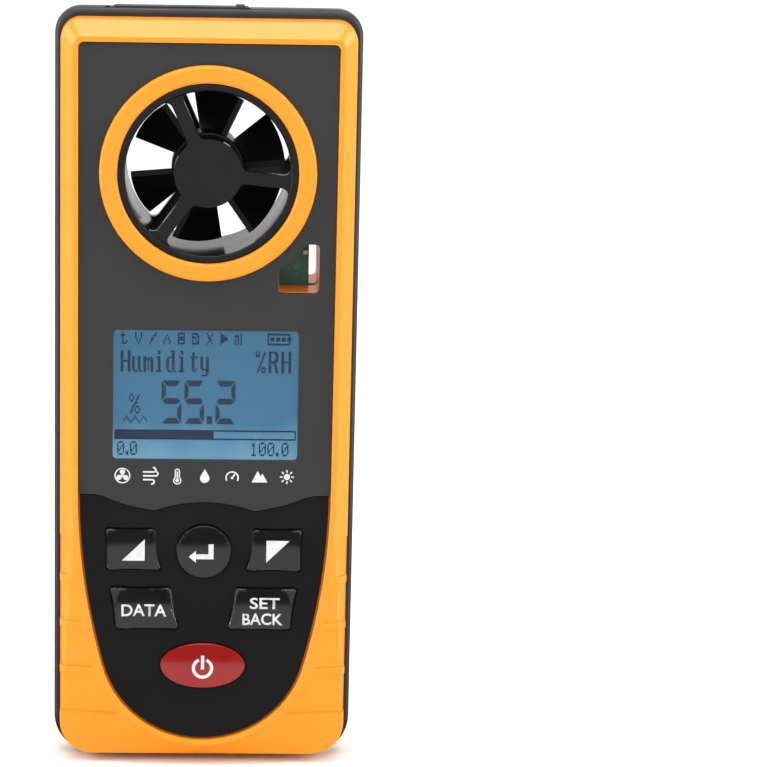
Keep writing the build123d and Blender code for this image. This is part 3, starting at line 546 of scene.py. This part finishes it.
WORD_BOLD = 0.018
KEY_WORDS = (               # piece, word, key, then left, right, bottom and top in millimetres
    ("key_data_mark", "DATA", "key_func", -15.6, -7.0, 29.4, 31.75),
    ("key_set_mark", "SET", "key_unit", 8.9, 14.6, 30.95, 33.2),
    ("key_back_mark", "BACK", "key_unit", 7.5, 15.2, 27.85, 30.1),
)
UP_SIGN = [(-15.6, 40.3), (-11.25, 40.3), (-11.25, 44.5)]
DOWN_SIGN = [(11.9, 44.4), (11.9, 40.1), (16.3, 44.4)]
ENTER_HEAD = [(-2.85, 41.15), (-1.5, 40.0), (-1.5, 42.3)]
ENTER_FOOT = ((-1.5, 41.15), (1.85, 41.15), 0.95)       # start, end and width of a stroke
ENTER_LEG = ((1.37, 41.62), (1.37, 43.6), 0.96)
POWER_RING = ((0, 19.25), 1.74, 0.6, 114, 426, 36)
POWER_STROKE = ((0, 19.0), (0, 21.75), 0.62)


def add_key_legends(white):
    enter = [ENTER_HEAD, bar(*ENTER_FOOT), bar(*ENTER_LEG)]
    power = [*arc_band(*POWER_RING), bar(*POWER_STROKE)]
    lay_on("key_up_mark", polygons_mesh([UP_SIGN]), "key_up", "key_up_body", white)
    lay_on("key_down_mark", polygons_mesh([DOWN_SIGN]), "key_down", "key_down_body", white)
    lay_on("key_enter_mark", polygons_mesh(enter), "key_enter", "key_enter_body", white)
    for piece, word, key, *rectangle in KEY_WORDS:
        lay_on(piece, text_mesh(word, *rectangle), key, key + "_body", white)
    lay_on("key_power_mark", polygons_mesh(power), "key_power", "key_power_body", white)


# ---------------------------------------------------------------- row of weather pictograms

def wind_sign(x, z):
    shapes = []
    for rise, reach in ((0.75, 0.7), (0.0, 1.1), (-0.75, 0.4)):
        shapes.append(bar((x - 1.3, z + rise), (x + reach, z + rise), 0.3))
        turn = 1 if rise >= 0 else -1
        centre = (x + reach, z + rise + turn * 0.42)
        shapes += arc_band(centre, 0.42, 0.3, -90 * turn, 110 * turn, 10)
    return shapes


def thermometer_sign(x, z):
    shapes = [bar((x, z - 0.7), (x, z + 0.9), 0.28), dot((x, z - 0.85), 0.36)]
    shapes += arc_band((x, z - 0.85), 0.68, 0.22, 125, 415, 18)
    shapes += arc_band((x, z + 0.95), 0.39, 0.22, 0, 180, 10)
    shapes.append(bar((x - 0.39, z - 0.35), (x - 0.39, z + 0.95), 0.22))
    shapes.append(bar((x + 0.39, z - 0.35), (x + 0.39, z + 0.95), 0.22))
    return shapes


def drop_sign(x, z):
    low = z - 0.4
    tip = (x, z + 1.4)
    curve = [(x + 0.9 * math.cos(t), low + 0.9 * math.sin(t)) for t in
             (math.radians(25 - step * 230 / 16) for step in range(17))]
    return [[tip, *curve]]


def gauge_sign(x, z):
    shapes = arc_band((x, z - 0.25), 1.15, 0.28, -30, 210, 20)
    shapes.append(bar((x, z - 0.25), (x + 0.55, z + 0.5), 0.28))
    shapes.append(dot((x, z - 0.25), 0.26))
    return shapes


def peak_sign(x, z):
    ridge = [(-1.5, -1.1), (-0.35, 1.15), (0.2, 0.1), (0.55, 0.65), (1.5, -1.1)]
    return [[(x + a, z + b) for a, b in reversed(ridge)]]


def sun_sign(x, z):
    shapes = [dot((x, z), 0.6)]
    for step in range(8):
        turn = math.radians(45 * step)
        near = (x + 0.85 * math.cos(turn), z + 0.85 * math.sin(turn))
        far = (x + 1.35 * math.cos(turn), z + 1.35 * math.sin(turn))
        shapes.append(bar(near, far, 0.26))
    return shapes


def fan_sign(x, z):
    shapes = [dot((x, z), 0.32)]
    for step in range(3):
        turn = 90 + 120 * step
        middle = math.radians(turn)
        centre = (x + 0.75 * math.cos(middle), z + 0.75 * math.sin(middle))
        shapes.append(dot(centre, 0.5))
    shapes += arc_band((x, z), 1.4, 0.22, 0, 360, 28)
    return shapes


PICTOGRAMS = (fan_sign, wind_sign, thermometer_sign, drop_sign, gauge_sign, peak_sign, sun_sign)
PICTOGRAM_PITCH = 5.2
PICTOGRAM_ROW = 56.9
PICTOGRAM_PROUD = 0.01


def add_pictograms(white):
    """Seven plain signs under the screen for what the meter measures."""
    shapes = []
    for index, sign in enumerate(PICTOGRAMS):
        shapes += sign((index - (len(PICTOGRAMS) - 1) / 2) * PICTOGRAM_PITCH, PICTOGRAM_ROW)
    flat = polygons_mesh(shapes)
    lay_on("pictogram_row", flat, "display_panel", "case", white, proud=PICTOGRAM_PROUD)


# ---------------------------------------------------------------- picture on the screen

DOTS_WIDE = 128
DOTS_HIGH = 64
DOT_FILL = 0.94

TALL_GLYPHS = {
    "H": "##...## ##...## ##...## ##...## ##...## ####### ##...## ##...## ##...## ##...## ##...##",
    "u": "....... ....... ....... ##..##. ##..##. ##..##. ##..##. ##..##. ##..##. ##..##. .###.##",
    "m": "....... ....... ....... ##.#.#. ####### ##.#.## ##.#.## ##.#.## ##.#.## ##.#.## ##...##",
    "i": "..##... ..##... ....... .###... ..##... ..##... ..##... ..##... ..##... ..##... .####..",
    "d": "...###. ....##. ....##. .#####. ##..##. ##..##. ##..##. ##..##. ##..##. ##..##. .###.##",
    "t": "....... ..##... ..##... .#####. ..##... ..##... ..##... ..##... ..##... ..##.#. ...##..",
    "y": "....... ....... ....... ##..##. ##..##. ##..##. ##..##. ##..##. ##..##. .#####. "
         "....##. ....##. .####..",
    "%": "#.#...# #.#..## ###..#. ....##. ....#.. ...##.. ...#... ..##... ..#.### .##.#.# .#..###",
    "R": "######. ##..### ##...## ##...## ##..### ######. ##.##.. ##..##. ##..##. ##...## ##...##",
}
SMALL_GLYPHS = {
    "0": ".###. #...# #..## #.#.# ##..# #...# .###.",
    "1": "..#.. .##.. ..#.. ..#.. ..#.. ..#.. .###.",
    ".": "..... ..... ..... ..... ..... .##.. .##..",
}
SMALL_SIGNS = (
    ".#... ###.. .#... .#... .#..# .###.", "#...# #...# #...# .#.#. .#.#. ..#..",
    "....# ...## ..#.. .##.. .#... #....", "..... ..#.. .#.#. .#.#. #...# #...#",
    "##### #...# ##### ##### #...# #####", "####. #..## ###.# #.#.# #..## #####",
    "#...# .#.#. .##.. ..##. .#.#. #...#", "#.... ###.. ##### ##### ###.. #....",
    "....# ###.# #.#.# #.#.# #.#.# #.#.#",
)
PERCENT_SIGN = ".##....# #..#..#. #..#.##. .##..#.. ....##.. ...##... ..##.##. ..#.#..# .##.#..# .#...##."
WAVE_SIGN = "..#.....#.....#.. .#.#...#.#...#.#. #...#.#...#.#...# .....#.....#....."
BATTERY_SIGN = (
    "################. #..............#. #.###.###.###.### #.###.###.###.### #..............#. "
    "################."
)
SEVEN_SEGMENTS = {"5": "afgcd", "2": "abged"}

# Places on the screen are (column, row) of the top left dot, counted from the top left corner.
SIGN_PLACE, SIGN_PITCH = (4, 1), 10
QUANTITY_PLACE, QUANTITY_PITCH = (4, 10), 8
UNIT_PLACE, UNIT_PITCH = (99, 10), 9
FIGURE_ROW = 25
FIGURES = (("5", 33), ("5", 49), ("2", 71))
POINT_COLUMNS, POINT_ROWS = range(65, 69), range(43, 47)
PERCENT_PLACE = (10, 32)
WAVE_PLACE = (6, 43)
SCALE_ROW = 56
SCALE_FIGURES = (("0.0", (2, 7, 11)), ("100.0", (96, 102, 108, 113, 118)))
BATTERY_PLACE = (107, 1)
BAR_TILES = (               # left, right, top and bottom: two rails, the filled part, the right end
    (0.0, 128.0, 50.0, 50.8),
    (0.0, 128.0, 54.2, 55.0),
    (0.0, 70.0, 50.8, 54.2),
    (127.2, 128.0, 50.8, 54.2),
)
SCREEN_EDGE = (0.5, 0.4)    # millimetres of window left free, across and up
SCREEN_PLAY = 0.02          # millimetres between the dots and the window or the glass


def glyph_dots(rows, column, row):
    """The lit dots of a picture drawn with # and full stops, its top left corner at (column, row)."""
    lit = set()
    for down, line in enumerate(rows.split()):
        for across, mark in enumerate(line):
            if mark == "#":
                lit.add((column + across, row + down))
    return lit


def segment_dots(segments, column, row):
    """One large seven-segment figure, 14 dots wide and 22 high, with slanted segment ends."""
    lit = set()
    for step in range(3):
        level = {(column + across, row + step) for across in range(1 + step, 13 - step)}
        foot = {(across, 2 * row + 21 - down) for across, down in level}
        middle = {(column + across, row + 9 + step) for across in range(2 - step % 2, 12 + step % 2)}
        upright = range(row + 1 + step, row + 10 - step)
        lower = range(row + 12 + step, row + 21 - step)
        if "a" in segments:
            lit |= level
        if "d" in segments:
            lit |= foot
        if "g" in segments:
            lit |= middle
        if "f" in segments:
            lit |= {(column + step, down) for down in upright}
        if "b" in segments:
            lit |= {(column + 13 - step, down) for down in upright}
        if "e" in segments:
            lit |= {(column + step, down) for down in lower}
        if "c" in segments:
            lit |= {(column + 13 - step, down) for down in lower}
    return lit


def glyph_row(glyphs, place, pitch):
    """Glyphs set side by side, with a given number of dots from one to the next."""
    lit = set()
    for index, glyph in enumerate(glyphs):
        lit |= glyph_dots(glyph, place[0] + pitch * index, place[1])
    return lit


def screen_picture():
    """Every lit dot of the display: sign row, quantity, unit, reading and the scale's figures."""
    lit = glyph_row(SMALL_SIGNS, SIGN_PLACE, SIGN_PITCH)
    lit |= glyph_row([TALL_GLYPHS[letter] for letter in "Humidity"], QUANTITY_PLACE, QUANTITY_PITCH)
    lit |= glyph_row([TALL_GLYPHS[letter] for letter in "%RH"], UNIT_PLACE, UNIT_PITCH)
    for figure, column in FIGURES:
        lit |= segment_dots(SEVEN_SEGMENTS[figure], column, FIGURE_ROW)
    lit |= {(column, row) for column in POINT_COLUMNS for row in POINT_ROWS}
    for text, columns in SCALE_FIGURES:
        for letter, column in zip(text, columns):
            lit |= glyph_dots(SMALL_GLYPHS[letter], column, SCALE_ROW)
    lit |= glyph_dots(PERCENT_SIGN, *PERCENT_PLACE)
    lit |= glyph_dots(WAVE_SIGN, *WAVE_PLACE)
    return lit | glyph_dots(BATTERY_SIGN, *BATTERY_PLACE)


def add_screen_dots(ink):
    """Each lit dot is a thin tile between the window and the glass; the bar is four long tiles."""
    window_low, window_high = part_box("screen_window")
    glass_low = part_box("screen_glass")[0]
    front = window_high.y + SCREEN_PLAY * MM
    back = glass_low.y - SCREEN_PLAY * MM
    wide = (window_high.x - window_low.x - SCREEN_EDGE[0] * MM) / DOTS_WIDE
    high = (window_high.z - window_low.z - SCREEN_EDGE[1] * MM) / DOTS_HIGH
    left = (window_low.x + window_high.x) / 2 - wide * DOTS_WIDE / 2
    top = (window_low.z + window_high.z) / 2 + high * DOTS_HIGH / 2
    gap = (1 - DOT_FILL) / 2
    tiles = []
    for column, row in sorted(screen_picture()):
        tiles.append((column + gap, column + 1 - gap, row + gap, row + 1 - gap))
    tiles += BAR_TILES
    points = []
    faces = []
    for first, last, upper, lower in tiles:
        base = len(points)
        for y in (front, back):
            for x, z in ((first, lower), (last, lower), (last, upper), (first, upper)):
                points.append((left + x * wide, y, top - z * high))
        faces += [tuple(base + i for i in ring) for ring in (
            (0, 1, 2, 3), (7, 6, 5, 4), (0, 4, 5, 1), (1, 5, 6, 2), (2, 6, 7, 3), (3, 7, 4, 0))]
    mesh = bpy.data.meshes.new("screen_dots")
    mesh.from_pydata(points, [], faces)
    mesh.materials.append(ink)
    piece = add_object("screen_dots", mesh)
    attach(piece, "case")


# ---------------------------------------------------------------- relief on the battery door

CELL_CENTRES = (58.5, 38.5)
CELL_RINGS = ((8.6, 0.45), (7.6, 0.25))         # radius and width
RING_STEPS = 64
PLUS_REACH = 1.6
RELIEF_PROUD = 0.1


def add_door_relief(material):
    """Raised outlines of the two coin cells with a plus sign each."""
    shapes = []
    for z in CELL_CENTRES:
        for radius, width in CELL_RINGS:
            shapes += arc_band((0, z), radius, width, 0, 360, RING_STEPS)
        shapes.append(bar((-PLUS_REACH, z), (PLUS_REACH, z), 0.55))
        shapes.append(bar((0, z - PLUS_REACH), (0, z + PLUS_REACH), 0.56))
    flat = polygons_mesh(shapes)
    lay_on("door_relief", flat, "battery_door", "door_body", material, proud=RELIEF_PROUD, side=REAR)


# ---------------------------------------------------------------- build

bpy.context.scene.view_settings.view_transform = "Standard"
materials = make_materials()
for node_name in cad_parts:
    soften_node(node_name)
paint_nodes(materials)
legend_white = make_ink("legend_white", LEGEND_WHITE, 0.55)
screen_ink = make_ink("screen_ink", SCREEN_INK, 0.6)
add_key_legends(legend_white)
add_pictograms(legend_white)
add_screen_dots(screen_ink)
add_door_relief(materials["case_amber"])
add_world()
add_lights()
add_floor()
add_camera()
